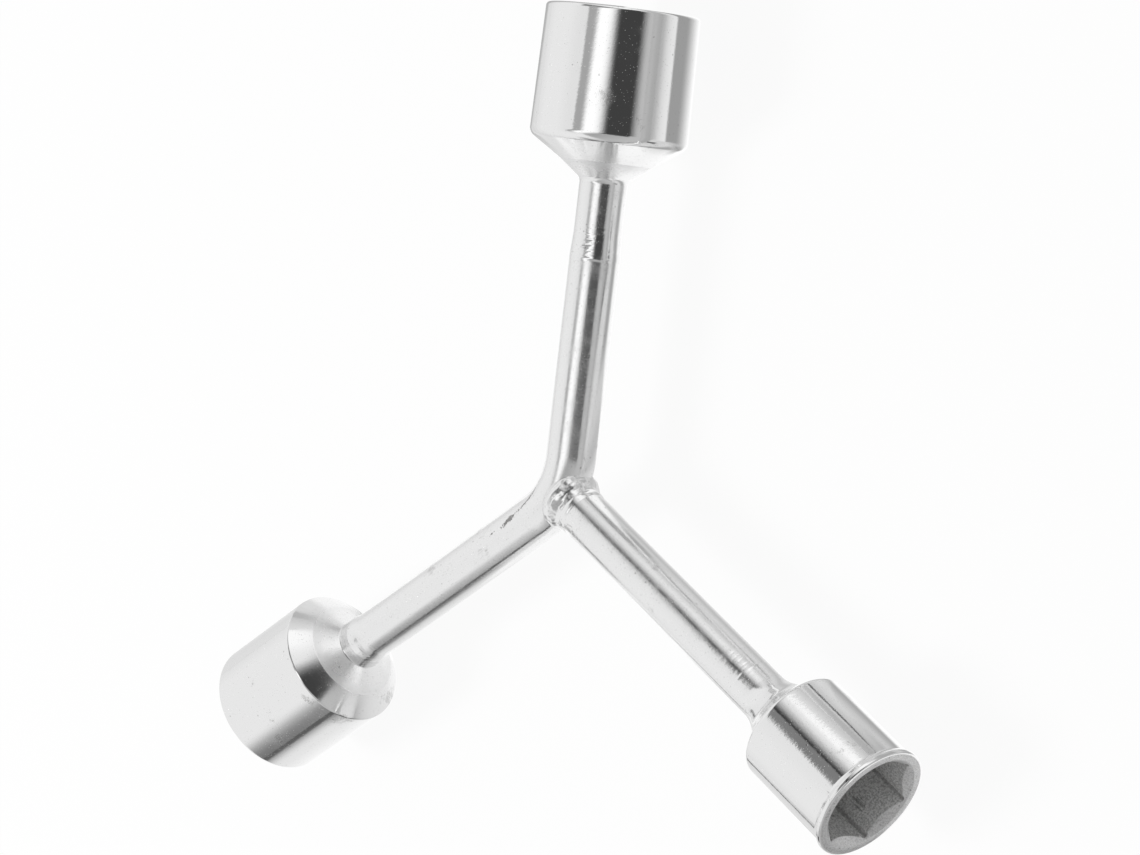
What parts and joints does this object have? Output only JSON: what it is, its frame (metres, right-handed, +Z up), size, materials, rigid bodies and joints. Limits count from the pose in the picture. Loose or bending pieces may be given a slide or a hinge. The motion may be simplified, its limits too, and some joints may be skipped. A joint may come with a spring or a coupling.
{
  "type": "y socket wrench",
  "caption": "Y-shaped socket wrench: a bent steel bar with a stem welded to it, and a turned hex socket on the end of each arm, all bright plated.",
  "frame": {"origin": "middle of the underside of the wrench's box, on the surface that the widest socket rests on", "axes": "+Z up, square to the level plane of the three arms; the stem with the 14 mm socket points along -Y; +X runs across the two arms of the bent bar, towards the 19 mm socket"},
  "size_m": [0.151, 0.1236, 0.0252],
  "materials": {
    "plated_bar": "bright plated drawn bar",
    "plated_weld": "bright plated weld bead",
    "plated_socket": "bright plated turned steel"
  },
  "bodies": {
    "root": {"bent_rod": "plated_bar", "stem_rod": "plated_bar", "hub_weld": "plated_weld", "socket_19": "plated_socket", "socket_17": "plated_socket", "socket_14": "plated_socket", "socket_weld_19": "plated_weld", "socket_weld_17": "plated_weld", "socket_weld_14": "plated_weld"}
  },
  "joints": []
}
